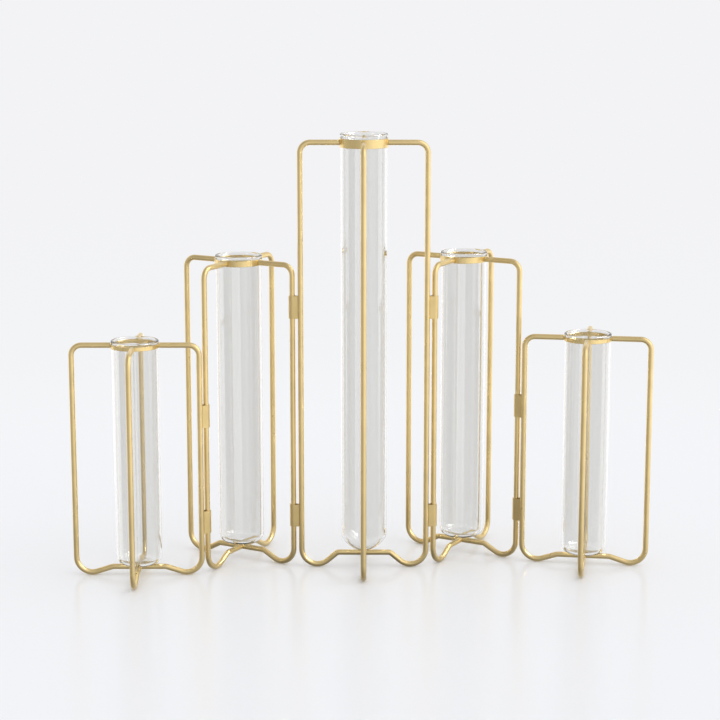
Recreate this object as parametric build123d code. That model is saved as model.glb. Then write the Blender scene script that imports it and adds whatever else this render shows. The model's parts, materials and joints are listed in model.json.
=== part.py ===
"""Folding test tube vase: five glass tubes in bent wire stands that swing on curled strip hinges.

Millimetres. +Z is up, the floor is z = 0, and the origin is on the floor under the tall tube.
Seen from the front, +X is to the right and +Y is away.
"""
import os
from math import asin, atan2, cos, degrees, hypot, radians, sin, tan

from build123d import *

# Bent wire of the stands, sizes on the wire's middle line
WIRE_DIAMETER = 3.0
LEG_REACH = 34.2
TOP_BEND = 5.6
FOOT_BEND = 8.6
KINK_BEND = 2.6
RAMP_RUN = 19.7
SMALL_TOP_HEIGHT = 127.5
MEDIUM_TOP_HEIGHT = 168.0
TALL_TOP_HEIGHT = 234.3
SMALL_BASE_RISE = 3.1
MEDIUM_BASE_RISE = 4.8
TALL_BASE_RISE = 6.7

# Rings that guide the tubes
RING_THICKNESS = 0.5
RING_EDGE = 0.12
SMALL_RING_HEIGHT = 2.2
MEDIUM_RING_HEIGHT = 3.2
TALL_RING_HEIGHT = 4.8
BRAZE_GAP = 0.05

# Glass tubes
TUBE_DIAMETER = 25.0
TUBE_WALL = 1.2
SMALL_DOME_RISE = 0.4
MEDIUM_DOME_RISE = 1.7
TALL_DOME_RISE = 4.8
KNUCKLE_RADIUS = 4.8
TUBE_CLEARANCE = 0.2
SEAT_GAP = 0.2
LIP_OVERHANG = 0.4
LIP_HEIGHT = 1.4
SMALL_LIP_GAP = 0.35
MEDIUM_LIP_GAP = 0.6
TALL_LIP_GAP = 1.15

# Hinge clips, each a strip curled round one leg with both ends brazed to the next stand's leg
HINGE_SPACING = 4.7
CLIP_THICKNESS = 0.45
CLIP_CLEARANCE = 0.08
CLIP_HEIGHT = 12.4
LOWER_CLIP_HEIGHT = 29.1
OUTER_UPPER_CLIP_HEIGHT = 88.0
INNER_UPPER_CLIP_HEIGHT = 145.3

# Turn of each stand about its tube, in degrees, as it stands at rest
SMALL_LEFT_TURN = 0.5
MEDIUM_LEFT_TURN = -28.9
MEDIUM_RIGHT_TURN = -29.5
SMALL_RIGHT_TURN = -8.4

# How far each pair of clips points towards the back, in degrees from straight out of its leg
LEFT_OUTER_CLIP_TURN = 50.0
LEFT_INNER_CLIP_TURN = 18.0
RIGHT_INNER_CLIP_TURN = 29.0
RIGHT_OUTER_CLIP_TURN = 38.0

WIRE_RADIUS = WIRE_DIAMETER / 2
BASE_BAR_HALF = LEG_REACH - RAMP_RUN
TUBE_RADIUS = TUBE_DIAMETER / 2
BORE_RADIUS = TUBE_RADIUS - TUBE_WALL
RING_BORE = TUBE_RADIUS + TUBE_CLEARANCE
RING_RADIUS = RING_BORE + RING_THICKNESS
LEFT, RIGHT, FRONT = 180.0, 0.0, -90.0


class Stand:
    """One stand's heights and its place on the floor."""

    def __init__(self, centre, turn, top_height, base_rise, ring_height, lip_gap, dome_rise):
        self.location = Location((centre.X, centre.Y, 0), (0, 0, turn))
        self.top = top_height
        self.base = WIRE_RADIUS + base_rise
        self.base_rise = base_rise
        self.ring_height = ring_height
        self.dome_rise = dome_rise
        self.dome = KNUCKLE_RADIUS + dome_rise
        self.tube_bottom = self.base + WIRE_RADIUS + SEAT_GAP
        self.tube_rim = top_height + ring_height / 2 + lip_gap + LIP_HEIGHT


def toward(angle, distance):
    """A step over the floor, at an angle from +X in degrees."""
    return Vector(distance * cos(radians(angle)), distance * sin(radians(angle)), 0)


def foot_corner(stand):
    """Height where the lines of leg and ramp cross, for a foot bend that just reaches the floor."""
    out = RAMP_RUN - FOOT_BEND
    up = FOOT_BEND - stand.base_rise
    slope = asin(FOOT_BEND / hypot(out, up)) - atan2(up, out)
    return stand.base - RAMP_RUN * tan(slope)


def leg_points(stand, side):
    """Corners of one leg from its kink under the tube to its end at the ring, towards +X or -X."""
    end = RING_RADIUS - WIRE_RADIUS
    return [
        (side * BASE_BAR_HALF, 0, stand.base),
        (side * LEG_REACH, 0, foot_corner(stand)),
        (side * LEG_REACH, 0, stand.top),
        (side * end, 0, stand.top),
    ]


def bent_wire(points, radii):
    """Round wire along straight runs joined by bends."""
    path = FilletPolyline(*points, radius=radii)
    section = Plane(path @ 0, z_dir=path % 0) * Circle(WIRE_RADIUS)
    return sweep(section, path=path)


def ring_cope(stand):
    """Space that the ring and its braze take from the wire ends."""
    return Pos(0, 0, stand.top) * Cylinder(RING_RADIUS + BRAZE_GAP, stand.ring_height + WIRE_DIAMETER)


def loop_wire(stand):
    """The wire that runs from the ring down one leg, under the tube and up the opposite leg."""
    points = leg_points(stand, -1)[::-1] + leg_points(stand, 1)
    radii = [TOP_BEND, FOOT_BEND, KINK_BEND, KINK_BEND, FOOT_BEND, TOP_BEND]
    return bent_wire(points, radii) - ring_cope(stand)


def half_wire(stand):
    """A single leg whose base bar is coped against the loop wire's bar."""
    points = [(0, 0, stand.base)] + leg_points(stand, 1)
    wire = bent_wire(points, [KINK_BEND, FOOT_BEND, TOP_BEND])
    bar = Cylinder(WIRE_RADIUS + BRAZE_GAP, 2 * BASE_BAR_HALF, rotation=(90, 0, 0))
    return wire - Pos(0, 0, stand.base) * bar - ring_cope(stand)


def ring(stand):
    """Flat strip rolled into a ring, with its edges rounded."""
    band = Cylinder(RING_RADIUS, stand.ring_height) - Cylinder(RING_BORE, stand.ring_height)
    return Pos(0, 0, stand.top) * fillet(band.edges().filter_by(GeomType.CIRCLE), RING_EDGE)


def dome_arcs(stand, inset):
    """Shallow sphere and knuckle that close the tube, from its axis to its wall, drawn in by the inset."""
    reach = TUBE_RADIUS - KNUCKLE_RADIUS
    sphere = (reach**2 + stand.dome**2 - KNUCKLE_RADIUS**2) / (2 * stand.dome_rise)
    spread = degrees(atan2(reach, sphere - stand.dome))
    bottom = stand.tube_bottom
    return [
        CenterArc((0, bottom + sphere), sphere - inset, -90, spread),
        CenterArc((reach, bottom + stand.dome), KNUCKLE_RADIUS - inset, spread - 90, 90 - spread),
    ]


def tube(stand):
    """Glass tube with a shallow domed bottom and a fire-polished lip."""
    lip_radius = TUBE_RADIUS + LIP_OVERHANG
    crown = (lip_radius - BORE_RADIUS) / 2
    bottom, rim = stand.tube_bottom, stand.tube_rim
    shoulder = bottom + stand.dome
    outer_wall = (TUBE_RADIUS, rim - LIP_HEIGHT)
    lip_side = (lip_radius, rim - crown)
    bore_top = (BORE_RADIUS, rim - crown)
    walls = [
        Line((TUBE_RADIUS, shoulder), outer_wall),
        Line(outer_wall, lip_side),
        ThreePointArc(lip_side, (BORE_RADIUS + crown, rim), bore_top),
        Line(bore_top, (BORE_RADIUS, shoulder)),
        Line((0, bottom + TUBE_WALL), (0, bottom)),
    ]
    outline = dome_arcs(stand, 0) + walls + dome_arcs(stand, TUBE_WALL)
    return revolve(Plane.XZ * make_face(outline), Axis.Z)


def clip():
    """Strip curled round a leg at the origin, its two leaves closing on a leg along +X."""
    bore = WIRE_RADIUS + CLIP_CLEARANCE
    reach = asin(bore / HINGE_SPACING)
    touch = (bore * sin(reach), bore * cos(reach))
    strip = make_hull(
        (Circle(bore + CLIP_THICKNESS) + Pos(HINGE_SPACING, 0) * Circle(CLIP_THICKNESS)).edges()
    )
    inside = Circle(bore) + Polygon(
        touch, (HINGE_SPACING, 0), (touch[0], -touch[1]), align=None
    )
    leg = Pos(HINGE_SPACING, 0) * Circle(WIRE_RADIUS + BRAZE_GAP)
    return extrude(strip - inside - leg, CLIP_HEIGHT / 2, both=True)


def place_stands():
    """The five stands in their zigzag, each hung on its neighbour's hinge, and the hinges."""
    small = (SMALL_TOP_HEIGHT, SMALL_BASE_RISE, SMALL_RING_HEIGHT, SMALL_LIP_GAP, SMALL_DOME_RISE)
    medium = (MEDIUM_TOP_HEIGHT, MEDIUM_BASE_RISE, MEDIUM_RING_HEIGHT, MEDIUM_LIP_GAP, MEDIUM_DOME_RISE)
    tall = (TALL_TOP_HEIGHT, TALL_BASE_RISE, TALL_RING_HEIGHT, TALL_LIP_GAP, TALL_DOME_RISE)

    left_inner = LEFT - LEFT_INNER_CLIP_TURN
    left_inner_pin = toward(LEFT, LEG_REACH) + toward(left_inner, HINGE_SPACING)
    medium_left = left_inner_pin - toward(MEDIUM_LEFT_TURN, LEG_REACH)
    left_outer = SMALL_LEFT_TURN + LEFT_OUTER_CLIP_TURN
    left_outer_pin = medium_left + toward(MEDIUM_LEFT_TURN + FRONT, LEG_REACH)
    small_left = left_outer_pin - toward(left_outer, HINGE_SPACING) - toward(SMALL_LEFT_TURN, LEG_REACH)

    right_inner = RIGHT + RIGHT_INNER_CLIP_TURN
    right_inner_pin = toward(RIGHT, LEG_REACH) + toward(right_inner, HINGE_SPACING)
    medium_right = right_inner_pin - toward(MEDIUM_RIGHT_TURN + FRONT, LEG_REACH)
    right_outer = SMALL_RIGHT_TURN + LEFT - RIGHT_OUTER_CLIP_TURN
    right_outer_pin = medium_right + toward(MEDIUM_RIGHT_TURN, LEG_REACH)
    small_right = (
        right_outer_pin - toward(right_outer, HINGE_SPACING) - toward(SMALL_RIGHT_TURN + LEFT, LEG_REACH)
    )

    stands = {
        "small_left": Stand(small_left, SMALL_LEFT_TURN, *small),
        "medium_left": Stand(medium_left, MEDIUM_LEFT_TURN, *medium),
        "tall": Stand(Vector(0, 0, 0), 0, *tall),
        "medium_right": Stand(medium_right, MEDIUM_RIGHT_TURN, *medium),
        "small_right": Stand(small_right, SMALL_RIGHT_TURN, *small),
    }
    hinges = {
        "left_outer": (left_outer_pin, left_outer, OUTER_UPPER_CLIP_HEIGHT),
        "left_inner": (left_inner_pin, left_inner, INNER_UPPER_CLIP_HEIGHT),
        "right_inner": (right_inner_pin, right_inner, INNER_UPPER_CLIP_HEIGHT),
        "right_outer": (right_outer_pin, right_outer, OUTER_UPPER_CLIP_HEIGHT),
    }
    return stands, hinges


def main():
    os.makedirs("parts", exist_ok=True)
    stands, hinges = place_stands()
    for name, stand in stands.items():
        pieces = {
            "loop_wire": loop_wire(stand),
            "front_leg": Rot(0, 0, FRONT) * half_wire(stand),
            "rear_leg": Rot(0, 0, -FRONT) * half_wire(stand),
            "ring": ring(stand),
            "tube": tube(stand),
        }
        for piece, shape in pieces.items():
            export_step(stand.location * shape, f"parts/{name}_{piece}.step")
    for name, (pin, direction, upper_height) in hinges.items():
        for level, height in (("upper", upper_height), ("lower", LOWER_CLIP_HEIGHT)):
            # The leaves point back to the leg that carries the clip
            location = Location((pin.X, pin.Y, height), (0, 0, direction + 180))
            export_step(location * clip(), f"parts/hinge_{name}_{level}.step")
        print(name, "pin at", round(pin.X, 4), round(pin.Y, 4))
    for name, stand in stands.items():
        x, y, _ = stand.location.position
        print(name, "centre", round(x, 4), round(y, 4), "bottom", stand.tube_bottom, "rim", stand.tube_rim)


if __name__ == "__main__":
    main()
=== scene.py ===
"""Folding test tube vase on a plain studio floor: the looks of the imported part, in metres and in its frame."""
import json
from math import atan2, cos, pi, radians, sin

import bmesh
import bpy
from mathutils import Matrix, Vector


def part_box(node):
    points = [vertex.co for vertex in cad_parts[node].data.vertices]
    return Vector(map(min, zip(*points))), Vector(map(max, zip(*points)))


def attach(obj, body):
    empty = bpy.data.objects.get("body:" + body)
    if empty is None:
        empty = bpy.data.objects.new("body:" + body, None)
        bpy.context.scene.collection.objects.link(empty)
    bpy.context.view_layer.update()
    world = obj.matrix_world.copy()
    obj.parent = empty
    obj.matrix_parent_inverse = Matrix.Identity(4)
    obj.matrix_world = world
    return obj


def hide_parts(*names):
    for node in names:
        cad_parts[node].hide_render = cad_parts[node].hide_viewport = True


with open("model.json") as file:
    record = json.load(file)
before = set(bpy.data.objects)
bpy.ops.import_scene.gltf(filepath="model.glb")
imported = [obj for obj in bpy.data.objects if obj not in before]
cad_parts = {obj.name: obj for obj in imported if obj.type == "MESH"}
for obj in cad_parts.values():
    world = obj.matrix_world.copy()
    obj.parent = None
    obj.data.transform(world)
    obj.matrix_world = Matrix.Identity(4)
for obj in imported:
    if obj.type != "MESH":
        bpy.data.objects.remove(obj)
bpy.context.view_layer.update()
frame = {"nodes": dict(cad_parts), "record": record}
nodes = frame["nodes"]

STANDS = ("small_left", "medium_left", "tall", "medium_right", "small_right")

# Sizes of the glass, as in the part
TUBE_RADIUS = 0.0125
TUBE_WALL = 0.0012
KNUCKLE_RADIUS = 0.0048
LIP_OVERHANG = 0.0004
LIP_HEIGHT = 0.0014
DOMES = {"small": 0.0052, "medium": 0.0065, "tall": 0.0096}

# How the bore of drawn tubing strays: a shift to the back, and waves that start elsewhere on each tube
# Each wave has its depth, its turns round the tube, its radians per metre along it, and its share of the phase
BORE_SHIFT = 0.00012
BORE_WAVES = ((0.000015, 3, 9, 1), (0.00001, 5, -14, 2))
PHASE_STEP = 1.7

# Mesh of the glass: steps round the tube, the radius that counts as its axis, and steps along each wall,
# over the lip and in the arcs of the bottom
ROUND_STEPS = 160
AXIS_RADIUS = 1e-6
WALL_STEPS = 40
LIP_STEPS = 20
DOME_STEPS = 16
KNUCKLE_STEPS = 14

# Part of the noise's range that the materials use
NOISE_SPAN = (0.3, 0.7)

# Satin gold: the noise of its plating and of its wear, as stretch, scale and detail, that of its grain
# without the stretch, and the strength and depth of the grain
PLATING_NOISE = ((1, 1, 1), 90, 3)
WEAR_NOISE = ((1, 1, 0.4), 260, 5)
GRAIN_NOISE = (900, 4)
GRAIN_RELIEF = (0.12, 0.0002)

# Golds by slot: name, two colours of the plating, the stretch of the grain, and the ends of the roughness
GOLDS = {
    "gold_wire": ("satin_gold_wire", (0.74, 0.572, 0.278), (0.84, 0.652, 0.32), (1, 1, 0.08), (0.26, 0.38)),
    "ring_strip": ("satin_gold_ring", (0.74, 0.57, 0.265), (0.84, 0.65, 0.305), (0.15, 0.15, 3), (0.22, 0.34)),
    "clip_strip": (
        "satin_gold_clip", (0.68, 0.515, 0.235), (0.78, 0.595, 0.275), (0.15, 0.15, 3), (0.28, 0.42),
    ),
}

# Clear glass: the noise, two colours and range of its painted reflections (lengthwise pale and dark bands in its
# tint), the film that dulls it, and its streaks
GLASS_IOR = 1.48
PAINTED_REFLECTION_NOISE = ((1, 1, 0.012), 190, 3)
PAINTED_REFLECTION_DARK = (0.842, 0.841, 0.828)
PAINTED_REFLECTION_PALE = (0.894, 0.895, 0.883)
PAINTED_REFLECTION_SPAN = (0.42, 0.72)
FILM_NOISE = ((1, 1, 1), 120, 4)
GLASS_ROUGHNESS = (0.0, 0.012)
STREAK_NOISE = ((1, 1, 0.02), 240, 2)
STREAK_RELIEF = (0.05, 0.0003)

# Studio that the metal mirrors: levels to the left, right and front, low down behind, and straight up or down
# Each span gives the parts of a direction, from -1 to 1 along an axis, between which a level changes
STUDIO_CAST = (1.0, 1.0, 1.015)
SIDE_SPAN = (-0.8, 1.0)
LEFT_LEVEL = 0.6
RIGHT_LEVEL = 1.4
FRONT_SPAN = (-1.0, 0.0)
FRONT_LEVEL = 0.9
REAR_SPAN = (0.1, 0.5)
HORIZON_SPAN = (-0.1, 0.1)
LOW_REAR_LEVEL = 1.3
STEEP_SPAN = (0.3, 0.85)
STEEP_LEVEL = 0.7

# Backdrop behind the glass: its own tone straight ahead, and screens to the sides, above and below
BACKDROP = (0.896, 0.896, 0.913)
AHEAD_SPAN = (0.9, 0.965)
UP_SPAN = (0.1, 0.5)
SCREEN_LEVEL = 1.12
UPPER_SCREEN_LEVEL = 0.5
DOWN_SPAN = (-0.6, -0.3)
LOWER_SCREEN_SHARE = 0.85

# Even light on the floor
EVEN_CAST = (1.0, 1.0, 1.02)
EVEN_LEVEL = 0.86

# Floor: half its width, its squares, its look near the object, and where that turns into the tone further off,
# which goes from its own in front to the backdrop's behind
FLOOR_REACH = 60
FLOOR_SQUARES = 8
FLOOR_COLOUR = (0.915, 0.927, 0.942)
FLOOR_ROUGHNESS = 0.2
FLOOR_SHINE = 0.15
FAR_SPAN = (0.24, 0.7)
FRONT_TONE = (0.896, 0.913, 0.93)
TONE_SPAN = (-0.3, 1.6)

# Shade that the metal mirrors from the floor under the object: its reach, its spread by axis, and its fall
SHADE_REACH = 0.3
SHADE_WIDTH = (0.45, 1, 0)
SHADE_FALL = 0.3

# Lamps: the sun's place, strength and angle, and each soft box's place, watts, width and height
AIM = (0, 0, 0.1)
KEY_PLACE = (1.3, -0.7, 1.6)
KEY_STRENGTH = 0.5
KEY_ANGLE = 60
WINDOW = ((2.0, -0.2, 1.7), 180.0, 1.7, 2.0)
SOFT_BOXES = {
    "left_box": ((-1.98, 0.1, -0.2), 15.0, 0.9, 2.4),
    "right_box": ((1.98, -0.1, -0.2), 15.0, 0.9, 2.4),
    "front_box": ((-0.68, -2.09, -0.2), 42.0, 2.2, 2.4),
}

# Camera fitted to the photograph
CAMERA_PLACE = (0.00496, -1.08, 0.32886)
CAMERA_PITCH = 11.127
CAMERA_YAW = 0.373
CAMERA_LENS = 101.42
CAMERA_SENSOR = 36


def shader(name):
    """A new material, its node tree and its principled shader."""
    material = bpy.data.materials.new(name)
    material.use_nodes = True
    return material, material.node_tree, material.node_tree.nodes["Principled BSDF"]


def put(tree, kind, inputs=(), **settings):
    """A node with its settings and its inputs set or linked."""
    node = tree.nodes.new(kind)
    for key, value in settings.items():
        setattr(node, key, value)
    for key, value in dict(inputs).items():
        if isinstance(value, bpy.types.NodeSocket):
            tree.links.new(value, node.inputs[key])
        else:
            node.inputs[key].default_value = value
    return node


def noise(tree, stretch, scale, detail):
    """Noise in the piece's own coordinates, drawn out along its slow axis."""
    place = put(tree, "ShaderNodeTexCoord").outputs["Object"]
    mapped = put(tree, "ShaderNodeMapping", {"Vector": place, "Scale": stretch}).outputs[0]
    return put(tree, "ShaderNodeTexNoise", {"Vector": mapped, "Scale": scale, "Detail": detail}).outputs["Fac"]


def ramp(tree, factor, low, high, start, end):
    """Colour between two ends as the factor goes from start to end."""
    node = put(tree, "ShaderNodeValToRGB", {"Fac": factor})
    node.color_ramp.elements[0].position = start
    node.color_ramp.elements[1].position = end
    node.color_ramp.elements[0].color = (*low, 1)
    node.color_ramp.elements[1].color = (*high, 1)
    return node.outputs["Color"]


def span(tree, value, start, end, low=0.0, high=1.0, kind="LINEAR"):
    """A number between two ends as the value goes from start to end."""
    ends = {"Value": value, "From Min": start, "From Max": end, "To Min": low, "To Max": high}
    return put(tree, "ShaderNodeMapRange", ends, interpolation_type=kind).outputs["Result"]


def ease(tree, value, start, end, low=0.0, high=1.0):
    """The same with soft ends."""
    return span(tree, value, start, end, low, high, "SMOOTHSTEP")


def combine(tree, operation, *values):
    """One or two numbers put through one operation."""
    return put(tree, "ShaderNodeMath", dict(enumerate(values)), operation=operation).outputs[0]


def blend(tree, factor, first, second):
    """A shader that turns from the first into the second as the factor grows."""
    return put(tree, "ShaderNodeMixShader", {0: factor, 1: first, 2: second}).outputs[0]


def background(tree, colour, strength):
    """Light of the world in one colour."""
    return put(tree, "ShaderNodeBackground", {"Color": colour, "Strength": strength}).outputs[0]


def roughen(tree, bsdf, height, strength, distance):
    """Fine relief on a shader, following the height."""
    bump = put(tree, "ShaderNodeBump", {"Height": height, "Strength": strength, "Distance": distance})
    tree.links.new(bump.outputs[0], bsdf.inputs["Normal"])


def gold(name, low, high, grain, polish):
    """Satin gold: cloudy plating, fine grain along the way the metal was drawn, and worn shine."""
    material, tree, bsdf = shader(name)
    cloud = noise(tree, *PLATING_NOISE)
    fine = noise(tree, grain, *GRAIN_NOISE)
    wear = noise(tree, *WEAR_NOISE)
    bsdf.inputs["Metallic"].default_value = 1
    tree.links.new(ramp(tree, cloud, low, high, *NOISE_SPAN), bsdf.inputs["Base Color"])
    tree.links.new(span(tree, wear, *NOISE_SPAN, *polish), bsdf.inputs["Roughness"])
    roughen(tree, bsdf, fine, *GRAIN_RELIEF)
    return material


def clear_glass():
    """Drawn glass tubing: pale and dark lengthwise bands painted into its tint as reflections, streaks in its
    relief, and a slightly uneven shine.
    """
    material, tree, bsdf = shader("clear_glass")
    bsdf.inputs["Transmission Weight"].default_value = 1
    bsdf.inputs["IOR"].default_value = GLASS_IOR
    streak = noise(tree, *STREAK_NOISE)
    film = noise(tree, *FILM_NOISE)
    painted_reflection = noise(tree, *PAINTED_REFLECTION_NOISE)
    # Pale and dark lengthwise bands in the glass tint: painted reflections of lights at the sides
    tree.links.new(ramp(tree, painted_reflection, PAINTED_REFLECTION_DARK, PAINTED_REFLECTION_PALE, *PAINTED_REFLECTION_SPAN), bsdf.inputs["Base Color"])
    tree.links.new(span(tree, film, *NOISE_SPAN, *GLASS_ROUGHNESS), bsdf.inputs["Roughness"])
    roughen(tree, bsdf, streak, *STREAK_RELIEF)
    return material


def mesh_piece(name, bm, material):
    """A smooth object made of a finished mesh."""
    mesh = bpy.data.meshes.new(name)
    bmesh.ops.recalc_face_normals(bm, faces=bm.faces)
    bm.to_mesh(mesh)
    bm.free()
    mesh.shade_smooth()
    mesh.materials.append(material)
    piece = bpy.data.objects.new(name, mesh)
    bpy.context.scene.collection.objects.link(piece)
    return piece


def arc(centre, radius, start, end, steps):
    """Points of an arc in a profile, from one angle to another in radians."""
    angles = [start + (end - start) * k / steps for k in range(steps + 1)]
    return [(centre[0] + radius * cos(a), centre[1] + radius * sin(a)) for a in angles]


def tube_profile(bottom, rim, dome):
    """Radius, height and 1 on the bore or 0 elsewhere, from the outer bottom over the lip to the inner one."""
    reach = TUBE_RADIUS - KNUCKLE_RADIUS
    sphere = (reach**2 + dome**2 - KNUCKLE_RADIUS**2) / (2 * (dome - KNUCKLE_RADIUS))
    lean = atan2(reach, sphere - dome) - pi / 2
    bore = TUBE_RADIUS - TUBE_WALL
    crown = (TUBE_RADIUS + LIP_OVERHANG - bore) / 2
    outer = arc((0, bottom + sphere), sphere, -pi / 2, lean, DOME_STEPS)
    outer += arc((reach, bottom + dome), KNUCKLE_RADIUS, lean, 0, KNUCKLE_STEPS)[1:]
    rise = rim - LIP_HEIGHT - bottom - dome
    outer += [(TUBE_RADIUS, bottom + dome + rise * k / WALL_STEPS) for k in range(1, WALL_STEPS + 1)]
    lip = arc((bore + crown, rim - crown), crown, 0, pi, LIP_STEPS)
    fall = rim - crown - bottom - dome
    inner = [(bore, rim - crown - fall * k / WALL_STEPS) for k in range(1, WALL_STEPS + 1)]
    inner += arc((reach, bottom + dome), KNUCKLE_RADIUS - TUBE_WALL, 0, lean, KNUCKLE_STEPS)[1:]
    inner += arc((0, bottom + sphere), sphere - TUBE_WALL, lean, -pi / 2, DOME_STEPS)[1:]
    return [(r, z, 0) for r, z in outer + lip] + [(r, z, 1) for r, z in inner]


def glass_tube(name, material, phase):
    """One glass tube whose bore strays a little, as drawn tubing's does."""
    low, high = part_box(f"{name}_tube")
    middle = (low + high) / 2
    bm = bmesh.new()
    rows = []
    for radius, height, inside in tube_profile(low.z, high.z, DOMES[name.split("_")[0]]):
        if radius < AXIS_RADIUS:
            rows.append([bm.verts.new((middle.x, middle.y, height))])
            continue
        row = []
        for k in range(ROUND_STEPS):
            a = 2 * pi * k / ROUND_STEPS
            wander = sum(d * sin(n * a + m * height + share * phase) for d, n, m, share in BORE_WAVES)
            wander += BORE_SHIFT * sin(a)
            r = radius + inside * wander * min(1, radius / TUBE_RADIUS)
            row.append(bm.verts.new((middle.x + r * cos(a), middle.y + r * sin(a), height)))
        rows.append(row)
    for one, two in zip(rows, rows[1:]):
        for k in range(ROUND_STEPS):
            corners = [one[k % len(one)], one[(k + 1) % len(one)], two[(k + 1) % len(two)], two[k % len(two)]]
            bm.faces.new(list(dict.fromkeys(corners)))
    piece = mesh_piece(f"{name}_glass", bm, material)
    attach(piece, f"{name}_vessel")
    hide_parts(f"{name}_tube")
    piece.visible_shadow = False
    piece.visible_diffuse = False
    glassware.objects.link(piece)


def mirrored_studio(tree, way):
    """What the metal mirrors: darker on the left, brighter on the right and low down behind."""
    side = ease(tree, way["X"], *SIDE_SPAN, LEFT_LEVEL, RIGHT_LEVEL)
    front = span(tree, way["Y"], *FRONT_SPAN, FRONT_LEVEL, 1.0)
    around = combine(tree, "MULTIPLY", side, front)
    rear = span(tree, way["Z"], *HORIZON_SPAN, LOW_REAR_LEVEL, 1.0)
    behind = ease(tree, way["Y"], *REAR_SPAN)
    level = put(tree, "ShaderNodeMix", {"Factor": behind, 2: around, 3: rear}).outputs[0]
    steep = combine(tree, "ABSOLUTE", way["Z"])
    dim = ease(tree, steep, *STEEP_SPAN, 1.0, STEEP_LEVEL)
    scaled = {0: STUDIO_CAST, "Scale": combine(tree, "MULTIPLY", level, dim)}
    tint = put(tree, "ShaderNodeVectorMath", scaled, operation="SCALE").outputs[0]
    return background(tree, tint, 1.0)


def seen_backdrop(tree, way, path):
    """What the camera sees, and glass shows: the backdrop straight ahead, and screens at an angle."""
    wall = background(tree, (*BACKDROP, 1), 1.0)
    up = ease(tree, way["Z"], *UP_SPAN, SCREEN_LEVEL, UPPER_SCREEN_LEVEL)
    down = ease(tree, way["Z"], *DOWN_SPAN, LOWER_SCREEN_SHARE, 1.0)
    screens = background(tree, (*STUDIO_CAST, 1), combine(tree, "MULTIPLY", up, down))
    wide = combine(tree, "ABSOLUTE", way["X"])
    deep = combine(tree, "ABSOLUTE", way["Y"])
    ahead = ease(tree, combine(tree, "MAXIMUM", wide, deep), *AHEAD_SPAN)
    return blend(tree, combine(tree, "MAXIMUM", ahead, path["Is Camera Ray"]), screens, wall)


def world_light():
    """Pale backdrop for the camera and glass, a studio for the metal to mirror, and even light for the rest."""
    world = bpy.data.worlds.new("studio")
    bpy.context.scene.world = world
    world.use_nodes = True
    tree = world.node_tree
    tree.nodes.clear()
    path = put(tree, "ShaderNodeLightPath").outputs
    place = put(tree, "ShaderNodeTexCoord").outputs["Generated"]
    way = put(tree, "ShaderNodeSeparateXYZ", {"Vector": place}).outputs
    even = background(tree, (*EVEN_CAST, 1), EVEN_LEVEL)
    lit = blend(tree, path["Is Glossy Ray"], even, mirrored_studio(tree, way))
    plain = combine(tree, "MAXIMUM", path["Is Camera Ray"], path["Is Transmission Ray"])
    put(tree, "ShaderNodeOutputWorld", {"Surface": blend(tree, plain, lit, seen_backdrop(tree, way, path))})


def floor_look(tree, bsdf, place):
    """The floor to the eye: lit and shadowed near the object, and of one tone further off."""
    away = put(tree, "ShaderNodeVectorMath", {0: place}, operation="LENGTH").outputs["Value"]
    far = ease(tree, away, *FAR_SPAN)
    depth = put(tree, "ShaderNodeSeparateXYZ", {"Vector": place}).outputs["Y"]
    tone = ramp(tree, span(tree, depth, *TONE_SPAN), FRONT_TONE, BACKDROP, 0, 1)
    glow = put(tree, "ShaderNodeEmission", {"Color": tone, "Strength": 1.0}).outputs[0]
    bsdf.inputs["Base Color"].default_value = (*FLOOR_COLOUR, 1)
    bsdf.inputs["Roughness"].default_value = FLOOR_ROUGHNESS
    bsdf.inputs["Specular IOR Level"].default_value = FLOOR_SHINE
    return blend(tree, far, bsdf.outputs[0], glow)


def open_floor(tree, place, path):
    """The floor to metal and glass: open to the studio below, with shade under the object for the metal."""
    flat = put(tree, "ShaderNodeVectorMath", {0: place, 1: SHADE_WIDTH}, operation="MULTIPLY").outputs[0]
    aside = put(tree, "ShaderNodeVectorMath", {0: flat}, operation="LENGTH").outputs["Value"]
    near = combine(tree, "POWER", span(tree, aside, 0.0, SHADE_REACH), SHADE_FALL)
    clear = combine(tree, "MAXIMUM", near, path["Is Transmission Ray"])
    return put(tree, "ShaderNodeBsdfTransparent", {"Color": clear}).outputs[0]


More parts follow.
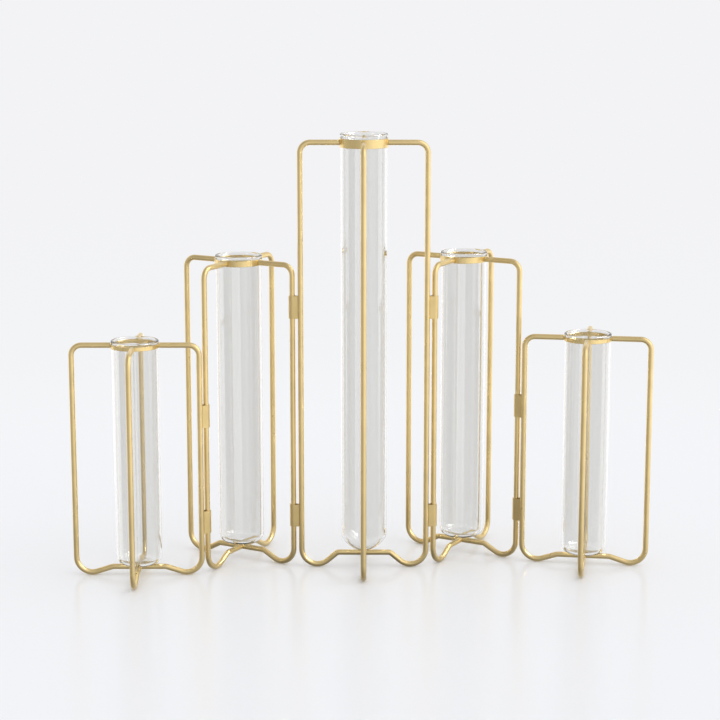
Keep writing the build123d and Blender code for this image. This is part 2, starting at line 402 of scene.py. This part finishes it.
def floor():
    """Seamless pale floor that takes the shadows near the object."""
    bm = bmesh.new()
    bmesh.ops.create_grid(bm, x_segments=FLOOR_SQUARES, y_segments=FLOOR_SQUARES, size=FLOOR_REACH)
    mesh = bpy.data.meshes.new("floor")
    bm.to_mesh(mesh)
    bm.free()
    piece = bpy.data.objects.new("floor", mesh)
    bpy.context.scene.collection.objects.link(piece)
    material, tree, bsdf = shader("pale_floor")
    place = put(tree, "ShaderNodeNewGeometry").outputs["Position"]
    path = put(tree, "ShaderNodeLightPath").outputs
    bent = combine(tree, "MAXIMUM", path["Is Glossy Ray"], path["Is Transmission Ray"])
    look = blend(tree, bent, floor_look(tree, bsdf, place), open_floor(tree, place, path))
    tree.links.new(look, tree.nodes["Material Output"].inputs["Surface"])
    mesh.materials.append(material)


def lamp(name, kind, place, energy, **settings):
    """A lamp at a place, aimed at the object."""
    data = bpy.data.lights.new(name, kind)
    data.energy = energy
    for key, value in settings.items():
        setattr(data, key, value)
    piece = bpy.data.objects.new(name, data)
    piece.location = place
    piece.rotation_euler = (Vector(AIM) - Vector(place)).to_track_quat("-Z", "Y").to_euler()
    bpy.context.scene.collection.objects.link(piece)
    return piece


def glass_lamp(name, place, energy, width, height):
    """A flat lamp that shows in the glass alone."""
    piece = lamp(name, "AREA", place, energy, shape="RECTANGLE", size=width, size_y=height)
    piece.visible_diffuse = False
    piece.light_linking.receiver_collection = glassware
    return piece


def lamps():
    """Soft sun from the right, a window high on the right, and soft boxes that put bands on the glass."""
    lamp("key", "SUN", KEY_PLACE, KEY_STRENGTH, angle=radians(KEY_ANGLE))
    glass_lamp("window", *WINDOW)
    for name, box in SOFT_BOXES.items():
        piece = glass_lamp(name, *box)
        piece.visible_camera = False
        piece.visible_transmission = False


def camera():
    """The photograph's camera."""
    data = bpy.data.cameras.new("camera")
    data.lens = CAMERA_LENS
    data.sensor_width = CAMERA_SENSOR
    piece = bpy.data.objects.new("camera", data)
    piece.location = CAMERA_PLACE
    piece.rotation_euler = (radians(90 - CAMERA_PITCH), 0, radians(CAMERA_YAW))
    bpy.context.scene.collection.objects.link(piece)
    bpy.context.scene.camera = piece


def dress():
    """Materials on the metal and new glass for the tubes."""
    metals = {slot: gold(*look) for slot, look in GOLDS.items()}
    for sub in frame["record"]["subparts"]:
        if sub["material_slot"] in metals:
            mesh = nodes[sub["node"]].data
            mesh.materials.clear()
            mesh.materials.append(metals[sub["material_slot"]])
    glass = clear_glass()
    for index, name in enumerate(STANDS):
        glass_tube(name, glass, PHASE_STEP * index)


bpy.context.scene.view_settings.view_transform = "Standard"
glassware = bpy.data.collections.new("glassware")
dress()
world_light()
floor()
lamps()
camera()
